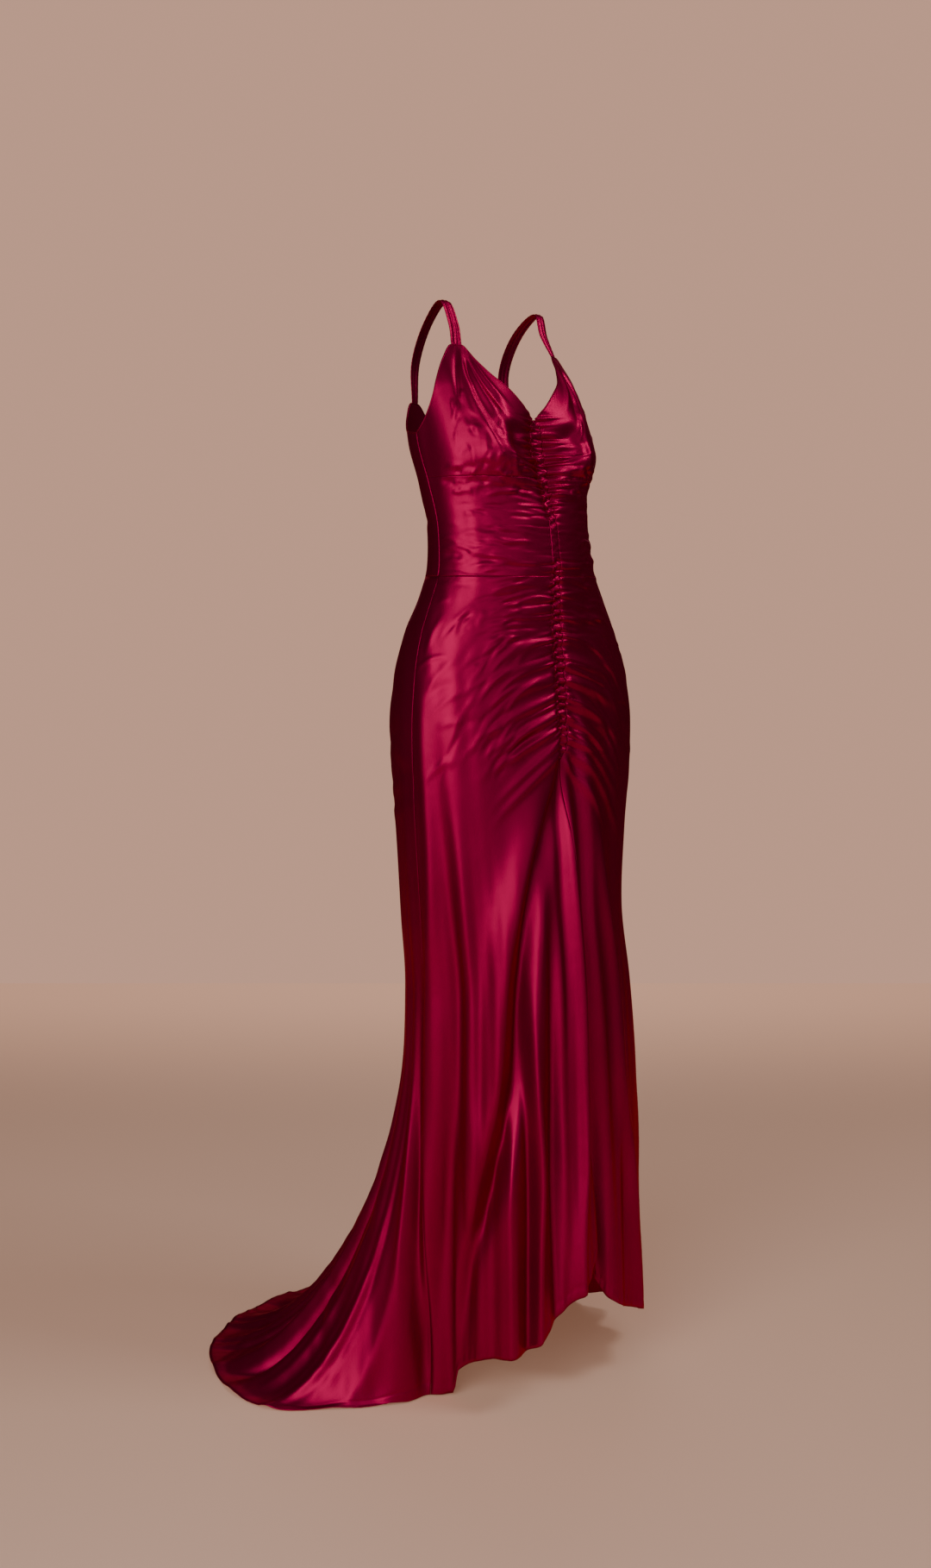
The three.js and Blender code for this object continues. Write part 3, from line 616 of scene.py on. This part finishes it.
def front_edge_angle(level, side):
    slit = SLIT_HALF_GAP * ease((SLIT_TOP - level) / SLIT_TOP)
    beside_band = level >= GATHER_END - BAND_TAPER
    clear = np.where(beside_band, band_half(level) + SEAM_GAP, SEAM_GAP / 2 + slit)
    return seam_angle(level) + side * degrees_of(clear, level)


def side_angle(level, gap):
    return SIDE_SEAM - SIDE_SWING * ease((KNEE - level) / KNEE) - math.degrees(gap / SEAM_RADIUS)


# %% [markdown]
# ## Making a panel
#
# A panel starts as a flat grid, as cloth does. Each point of the grid is then moved to its place on
# the worn form. Columns stand closer together beside the gathers, where the cloth bends most. A
# Solidify modifier gives it the thickness of satin, inwards, so that the outside stays where it is.

# %% Shape a grid into a cloth panel
SATIN_THICKNESS = 0.0009
HEM_DEPTH = 0.6 * MM
HEM_STITCH = 17 * MM
ROLL_SINK, ROLL_RADIUS = 0.7, 1.25


def deselect_all():
    if bpy.context.object and bpy.context.object.mode != "OBJECT":
        bpy.ops.object.mode_set(mode="OBJECT")
    bpy.ops.object.select_all(action="DESELECT")


def shaped_grid(name, points):
    """A grid object whose rows run from the top of the piece to its bottom."""
    rows, columns = points.shape[:2]
    deselect_all()
    bpy.ops.mesh.primitive_grid_add(x_subdivisions=columns - 1, y_subdivisions=rows - 1, size=2)
    piece = bpy.context.object
    piece.name = name
    mesh = piece.data
    flat = np.empty(len(mesh.vertices) * 3)
    mesh.vertices.foreach_get("co", flat)
    flat = flat.reshape(-1, 3)
    column = np.rint((flat[:, 0] + 1) / 2 * (columns - 1)).astype(int)
    row = np.rint((1 - flat[:, 1]) / 2 * (rows - 1)).astype(int)
    mesh.vertices.foreach_set("co", points[row, column].reshape(-1))
    mesh.update()
    return piece


def apply_modifiers(piece):
    deselect_all()
    piece.select_set(True)
    bpy.context.view_layer.objects.active = piece
    for modifier in list(piece.modifiers):
        bpy.ops.object.modifier_apply(modifier=modifier.name)
    bpy.ops.object.shade_smooth()


def give_thickness(piece, thickness=SATIN_THICKNESS):
    wall = piece.modifiers.new("wall", "SOLIDIFY")
    wall.thickness = thickness
    wall.offset = -1
    apply_modifiers(piece)


def from_edges(points):
    """How far each point lies from the four edges of its piece, measured along the cloth."""
    across = np.zeros(points.shape[:2])
    down = np.zeros(points.shape[:2])
    across[:, 1:] = np.cumsum(np.linalg.norm(np.diff(points, axis=1), axis=-1), axis=1)
    down[1:] = np.cumsum(np.linalg.norm(np.diff(points, axis=0), axis=-1), axis=0)
    return down, down[-1:] - down, across, across[:, -1:] - across


def normals_of(points):
    across = np.gradient(points, axis=1)
    down = np.gradient(points, axis=0)
    normal = np.cross(down, across)
    return normal / np.maximum(1e-12, np.linalg.norm(normal, axis=-1, keepdims=True))


def turn_in_edges(points, hem=False):
    """The cloth dips into its seams, and is turned under and stitched along its hem."""
    top, bottom, left, right = from_edges(points)
    nearest = np.minimum(np.minimum(top, left), right)
    dip = 0.2 * MM * np.exp(-nearest / (1.0 * MM))
    run = (top + left) / MM
    dip = dip + 0.12 * MM * np.exp(-nearest / (5 * MM)) * np.sin(run * 0.9 + 2 * np.sin(run * 0.13))
    if hem:
        dip = dip + HEM_DEPTH * np.exp(-bottom / (1.5 * MM))
        dip = dip + 0.5 * MM * bell((bottom - HEM_STITCH) / (1.3 * MM))
        dip = dip + 0.35 * MM * bell((bottom - HEM_STITCH * 0.5) / (7 * MM)) * np.sin(left / MM * 0.55)
    return points - normals_of(points) * dip[..., None]


def tube(name, path, radius, sides=8):
    """A closed round cord along a path of points."""
    path = np.asarray(path)
    ahead = np.gradient(path, axis=0)
    ahead /= np.linalg.norm(ahead, axis=1, keepdims=True)
    aside = np.cross(ahead, (0.1, 0.2, 1.0))
    aside /= np.linalg.norm(aside, axis=1, keepdims=True)
    above = np.cross(aside, ahead)
    turn = np.linspace(0, 2 * math.pi, sides + 1)[None, :, None]
    ring = path[:, None] + radius * (np.cos(turn) * aside[:, None] + np.sin(turn) * above[:, None])
    ends = [np.repeat(path[i][None, None], sides + 1, axis=1) for i in (0, -1)]
    cord = shaped_grid(name, np.concatenate([ends[0], ring, ends[1]]))
    weld(cord)
    return cord


def weld(piece):
    deselect_all()
    piece.select_set(True)
    bpy.context.view_layer.objects.active = piece
    bpy.ops.object.mode_set(mode="EDIT")
    bpy.ops.mesh.select_all(action="SELECT")
    bpy.ops.mesh.remove_doubles(threshold=1e-6)
    bpy.ops.mesh.normals_make_consistent(inside=False)
    bpy.ops.object.mode_set(mode="OBJECT")
    bpy.ops.object.shade_smooth()


def cloth_piece(name, points, node, held="hung", slot="satin", trims=(), hem=False):
    points = turn_in_edges(points, hem)
    piece = shaped_grid(name, points)
    give_thickness(piece)
    for part in (piece, *trims):
        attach(part, "root")
        slot if part == piece else "satin_trim"
    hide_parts(node)
    return piece


def rolled_edge(name, points):
    """A narrow rolled edge along the top row of a piece."""
    return tube(name, points[0] - normals_of(points)[0] * ROLL_SINK * MM, ROLL_RADIUS * MM)


def finer_near_zero(count, first_share=0.3):
    u = np.linspace(0, 1, count)
    return first_share * u + (1 - first_share) * u * u


def front_points(side, top, bottom, columns, level_shares):
    """Points of one half of the front. top is one level, or a function of the angle."""
    share = finer_near_zero(columns)[None, :]
    rough = np.abs(share * SIDE_SEAM) + 0 * level_shares[:, None]
    start = top(rough) if callable(top) else top + 0 * rough
    level = mix(start, bottom, level_shares[:, None])
    angle = mix(front_edge_angle(level, side), side * side_angle(level, SEAM_GAP / 2), share)
    if side < 0:
        angle, level = angle[:, ::-1], level[:, ::-1]
    return cloth_points(angle, level)


def levels_between(*stops):
    """Shares of the way down, from stops given as (level, step) pairs and a last level."""
    levels = []
    for (top, step), (bottom, _) in zip(stops[:-1], stops[1:]):
        levels.extend(np.linspace(top, bottom, max(2, round((top - bottom) / step)), endpoint=False))
    levels.append(stops[-1][0])
    levels = np.array(levels)
    return (levels[0] - levels) / (levels[0] - levels[-1])


# %% [markdown]
# ## The pieces of the front
#
# Cup, midriff and skirt are cut for the right and the left, and meet at the centre band. Each is made
# from the same function, between two levels. The rows stand closest where the puckers are.

# %% The pieces of the front
WAIST_TOP, WAIST_BOTTOM = WAIST_SEAM - SEAM_GAP / 2, WAIST_SEAM + SEAM_GAP / 2  # skirt's top, midriff's end
pieces = {}
trims = []


def front_top(angle):
    return FRONT_EDGE.read("height", angle)


def back_top(angle):
    return BACK_EDGE.read("height", angle)


def add_piece(node, points, **more):
    pieces[node] = cloth_piece(f"satin_{node}", points, node, **more)


for side, hand in ((-1, "right"), (1, "left")):
    cup = front_points(side, front_top, UNDERBUST_SEAM + SEAM_GAP / 2, 130, np.linspace(0, 1, 120))
    edge = rolled_edge(f"rolled_edge_{hand}", cup)
    trims.append(edge)
    add_piece(f"cup_{hand}", cup, trims=(edge,))
    midriff_top = UNDERBUST_SEAM - SEAM_GAP / 2
    midriff = front_points(side, midriff_top, WAIST_BOTTOM, 110, np.linspace(0, 1, 110))
    add_piece(f"midriff_{hand}", midriff)
    shares = levels_between((WAIST_TOP, 1.5), (GATHER_END - 8, 4), (500, 6), (0, 1))
    add_piece(f"skirt_front_{hand}", front_points(side, WAIST_TOP, 0, 120, shares), hem=True)

# %% [markdown]
# ## The pieces of the back
#
# The back is plain, with a seam down its middle. Its skirt is by far the widest piece, because all the
# cloth of the train comes from it. The rows stand closer together below the knee, where it spreads.

# %% The pieces of the back
MIDDLE_BACK = 180 - math.degrees(SEAM_GAP / 2 / SEAM_RADIUS)


def back_points(side, top, bottom, columns, level_shares):
    """Points of one half of the back, from the side seam to the middle."""
    share = np.linspace(0, 1, columns)[None, :]
    start = top(mix(SIDE_SEAM, 180, share)) if callable(top) else top
    level = mix(start, bottom, level_shares[:, None]) + 0 * share
    angle = side * mix(side_angle(level, -SEAM_GAP / 2), MIDDLE_BACK, share)
    if side < 0:
        angle, level = angle[:, ::-1], level[:, ::-1]
    return cloth_points(angle, level)


for side, hand in ((-1, "right"), (1, "left")):
    shares = levels_between((WAIST_TOP, 8), (KNEE + 60, 4), (0, 1))
    add_piece(f"skirt_back_{hand}", back_points(side, WAIST_TOP, 0, 190, shares), hem=True)
    bodice = back_points(side, back_top, WAIST_BOTTOM, 80, np.linspace(0, 1, 80))
    edge = rolled_edge(f"rolled_back_{hand}", bodice)
    trims.append(edge)
    add_piece(f"bodice_back_{hand}", bodice, trims=(edge,))

# %% [markdown]
# ## The centre band
#
# The two fronts are gathered onto a narrow band, which runs to a point at the neck and where the long
# folds begin. It lies a little proud of the cloth beside it, as a folded strip does.

# %% The centre band
BAND_RISE = 0.6
level = np.linspace(NECK_POINT - 1, GATHER_END - BAND_TAPER, 440)[:, None]
place = np.linspace(-1, 1, 13)[None, :]
angle = seam_angle(level) + place * degrees_of(band_half(level), level)
band = cloth_points(angle, level + 0 * angle, BAND_RISE * (1 - place**2))
add_piece("centre_band", band, held="gathered", slot="satin_trim")

# %% [markdown]
# ## The straps
#
# A strap is a strip of satin folded lengthwise. Its two edges are smooth curves over the shoulder, and
# three soft pleats run along it from the gathers of the cup.


# %% Smooth curves through a few points
def smooth_curve(places, steps):
    """Points along a rounded curve through all the places."""
    places = np.array(places, float)
    places = np.vstack([2 * places[0] - places[1], places, 2 * places[-1] - places[-2]])
    knots = np.concatenate([[0], np.cumsum(np.linalg.norm(np.diff(places, axis=0), axis=1) ** 0.5)])
    curve = []
    for i in range(1, len(places) - 2):
        t0, t1, t2, t3 = knots[i - 1 : i + 3]
        p0, p1, p2, p3 = places[i - 1 : i + 3]
        for t in np.linspace(t1, t2, 40, endpoint=False):
            a1 = mix(p0, p1, (t - t0) / (t1 - t0))
            a2 = mix(p1, p2, (t - t1) / (t2 - t1))
            a3 = mix(p2, p3, (t - t2) / (t3 - t2))
            b1 = mix(a1, a2, (t - t0) / (t2 - t0))
            b2 = mix(a2, a3, (t - t1) / (t3 - t1))
            curve.append(mix(b1, b2, (t - t1) / (t2 - t1)))
    curve = np.array(curve + [places[-2]])
    length = np.concatenate([[0], np.cumsum(np.linalg.norm(np.diff(curve, axis=0), axis=1))])
    return np.stack([np.interp(np.linspace(0, length[-1], steps), length, curve[:, k]) for k in range(3)], 1)


# %% The straps
STRAP_EDGES = [
    # inner x, y, height, outer x, y, height
    (78, 18, 1490, 95, 20, 1489),
    (81, 35, 1522.2, 98, 36, 1522.2),
    (77, 74, 1499, 95, 72, 1498),
    (76, 104, 1446, 94, 101, 1444),
]
STRAP_ENDS = (
    # first column in the table, angle at the cup, angle at the back
    (0, STRAP_INNER_ANGLE, STRAP_BACK_ANGLE + 4),
    (3, STRAP_OUTER_ANGLE, STRAP_BACK_ANGLE - 4),
)
STRAP_ROWS, STRAP_COLUMNS = 150, 25
for side, hand in ((-1, "right"), (1, "left")):
    back_end = float(back_top(STRAP_BACK_ANGLE)) + SEAM_GAP
    rails = []
    for first, front, back in STRAP_ENDS:
        ends = [
            (plain_form(np.array(side * a), np.array(h)) - (0, SHOULDER_SETBACK, STRAP_HEIGHT)) * MM
            for a, h in ((front, STRAP_JOINT + SEAM_GAP), (back, back_end))
        ]
        middle = [
            (side * row[first], row[first + 1] - SHOULDER_SETBACK, row[first + 2] - STRAP_HEIGHT)
            for row in STRAP_EDGES
        ]
        rails.append(smooth_curve([ends[0], *(np.array(middle) * MM), ends[1]], STRAP_ROWS))
    inner, outer = (rail[:, None] for rail in rails)
    share = np.linspace(0, 1, STRAP_COLUMNS)[None, :]
    strap = mix(inner, outer, share[..., None])
    over = normals_of(strap)
    if over[STRAP_ROWS // 2, STRAP_COLUMNS // 2, 2] < 0:  # the outside has to face up on the shoulder
        strap = strap[:, ::-1]
        over = normals_of(strap)
    run = np.linspace(0, 1, STRAP_ROWS)[:, None]
    pleats = 0.35 * np.cos(2 * math.pi * (3 * share + 0.12 * np.sin(5 * run)))
    crown = 1.2 * np.sin(math.pi * share) - 0.9
    strap = strap + over * ((pleats + crown) * MM)[..., None]
    add_piece(f"strap_{hand}", strap, held="stretched", slot="satin_trim")

# %% [markdown]
# ## Satin
#
# Satin is dark where it turns from the light and bright where it faces it, and its shine keeps the
# colour of the thread. A partly metallic surface does just that: its reflection is crimson too.


# %% Shader maths as Python expressions
class Sock:
    """A shader socket, or a number, that Python's operators add Math nodes to."""

    def __init__(self, tree, value):
        self.tree, self.value = tree, value

    def _math(self, operation, *values):
        node = self.tree.nodes.new("ShaderNodeMath")
        node.operation = operation
        for socket, value in zip(node.inputs, values):
            value = value.value if isinstance(value, Sock) else value
            if isinstance(value, (int, float)):
                socket.default_value = value
            else:
                self.tree.links.new(value, socket)
        return Sock(self.tree, node.outputs[0])

    def __add__(self, other):
        return self._math("ADD", self, other)

    def __mul__(self, other):
        return self._math("MULTIPLY", self, other)

    __radd__ = __add__
    __rmul__ = __mul__


class Finish:
    """A material with one Principled shader, and a method that adds any other node."""

    def __init__(self, name, **constants):
        self.material = bpy.data.materials.new(name)
        self.material.use_nodes = True
        self.tree = self.material.node_tree
        self.shader = self.tree.nodes["Principled BSDF"]
        for socket, value in constants.items():
            self.shader.inputs[socket.replace("_", " ")].default_value = value

    def node(self, kind, settings=None, out=0, **inputs):
        node = self.tree.nodes.new(f"ShaderNode{kind}")
        for key, value in (settings or {}).items():
            setattr(node, key, value)
        for key, value in inputs.items():
            name = key.replace("_", " ")
            socket = node.inputs[int(key[1:])] if key[0] == "i" and key[1:].isdigit() else node.inputs[name]
            value = value.value if isinstance(value, Sock) else value
            if isinstance(value, bpy.types.NodeSocket):
                self.tree.links.new(value, socket)
            else:
                socket.default_value = value
        return Sock(self.tree, node.outputs[out])

    def feed(self, socket, value):
        self.tree.links.new(value.value, self.shader.inputs[socket])


# %% The crimson satin
def satin(name, deep, bright, roughness):
    finish = Finish(name, Metallic=0.85, Roughness=roughness, Specular_IOR_Level=0.4)
    finish.shader.inputs["Specular Tint"].default_value = (1.0, 0.05, 0.22, 1)
    place = finish.node("TexCoord", out=3)
    cloudy = finish.node("TexNoise", Vector=place, Scale=7.0, Detail=3.0, Roughness=0.55)
    colour = finish.node("Mix", {"data_type": "RGBA"}, out=2, i0=cloudy, i6=deep, i7=bright)
    finish.feed("Base Color", colour)
    thread = finish.node("Mapping", Vector=place, Scale=(1, 1, 0.12))
    slub = finish.node("TexNoise", Vector=thread, Scale=900.0, Detail=2.0)
    soft = finish.node("TexNoise", Vector=place, Scale=38.0, Detail=2.0, Roughness=0.5)
    finish.feed("Normal", finish.node("Bump", Height=slub * 0.15 + soft, Strength=0.12, Distance=0.003))
    return finish.material


DEEP_CRIMSON, BRIGHT_CRIMSON = (0.23, 0.0008, 0.033, 1), (0.34, 0.004, 0.053, 1)
SATIN_ROUGHNESS = 0.43
CRIMSON = satin("crimson_satin", DEEP_CRIMSON, BRIGHT_CRIMSON, SATIN_ROUGHNESS)
for piece in [*pieces.values(), *trims]:
    piece.data.materials.clear()
    piece.data.materials.append(CRIMSON)
print("satin laid on", len(pieces) + len(trims), "pieces")

# %% [markdown]
# ## Floor and light
#
# A pale floor with a painted glow, and soft lamps. The floor's glow is painted light, faint near the gown
# and brighter towards its far end. The key lamp stands to the wearer's right and gives the long bright
# lines on the folds. A small high lamp picks out the puckers, a weak one fills in the front, and
# another lights the back. The room itself stays dim, so that the hollows go dark.

# %% A floor that glows like the wall where it ends, so that no line shows between them
FLOOR_SIZE = 5
GLOW_START = 1.1
NEAR_GLOW = (0.19, 0.09, 0.055, 1)
FAR_GLOW = (0.51, 0.25, 0.155, 1)
bpy.ops.mesh.primitive_plane_add(size=FLOOR_SIZE, location=(0, 0, FLOOR), rotation=(0, 0, CAMERA_TURN))
floor = bpy.context.object
floor.name = "studio_floor"
# The floor's emission colour is painted light: a glow that rises from NEAR_GLOW to FAR_GLOW towards the far
# end of the floor, in place of lamp light falling there.
paper = Finish("pale_paper_painted_glow", Base_Color=(0.64, 0.43, 0.33, 1), Roughness=0.8, Emission_Strength=1.0)
ahead = paper.node("SeparateXYZ", Vector=paper.node("TexCoord", out=3), out=1)
far = paper.node("MapRange", {"interpolation_type": "SMOOTHSTEP"}, i0=ahead, i1=GLOW_START, i2=FLOOR_SIZE / 2)
glow = paper.node("Mix", {"data_type": "RGBA"}, out=2, i0=far, i6=NEAR_GLOW, i7=FAR_GLOW)
paper.feed("Emission Color", glow)
floor.data.materials.append(paper.material)


# %% Lamps
LAMPS_AIM = (0, 0, -0.75)
ROOM_LIGHT = 0.035
WALL_LIGHT = 0.98


def lamp(name, turn, tilt, distance, size, watts):
    target = np.array(LAMPS_AIM)
    turn, tilt = math.radians(turn), math.radians(tilt)
    away = np.array([math.sin(turn) * math.cos(tilt), -math.cos(turn) * math.cos(tilt), math.sin(tilt)])
    bpy.ops.object.light_add(type="AREA", location=target + away * distance,
                             rotation=(math.pi / 2 - tilt, 0, turn))
    light = bpy.context.object
    light.name = name
    light.data.shape = "RECTANGLE"
    light.data.size, light.data.size_y = size
    light.data.energy = watts


lamp("key_lamp", -64, 18, 3.0, (2.0, 2.4), 58)
lamp("high_lamp", 32, 52, 3.0, (0.8, 0.8), 24)
lamp("fill_lamp", -16, 16, 3.2, (2.0, 2.0), 10)
lamp("back_lamp", 138, 30, 3.4, (2.4, 2.4), 14)
world = bpy.data.worlds.new("studio")
world.use_nodes = True
nodes, links = world.node_tree.nodes, world.node_tree.links
dim = nodes["Background"]
dim.inputs["Color"].default_value = (0.9, 0.7, 0.62, 1)
dim.inputs["Strength"].default_value = ROOM_LIGHT
wall = nodes.new("ShaderNodeBackground")
wall.inputs["Color"].default_value = (0.66, 0.37, 0.265, 1)
wall.inputs["Strength"].default_value = WALL_LIGHT
seen = nodes.new("ShaderNodeLightPath")
either = nodes.new("ShaderNodeMixShader")
links.new(seen.outputs["Is Camera Ray"], either.inputs[0])
links.new(dim.outputs[0], either.inputs[1])
links.new(wall.outputs[0], either.inputs[2])
links.new(either.outputs[0], nodes["World Output"].inputs[0])
bpy.context.scene.world = world
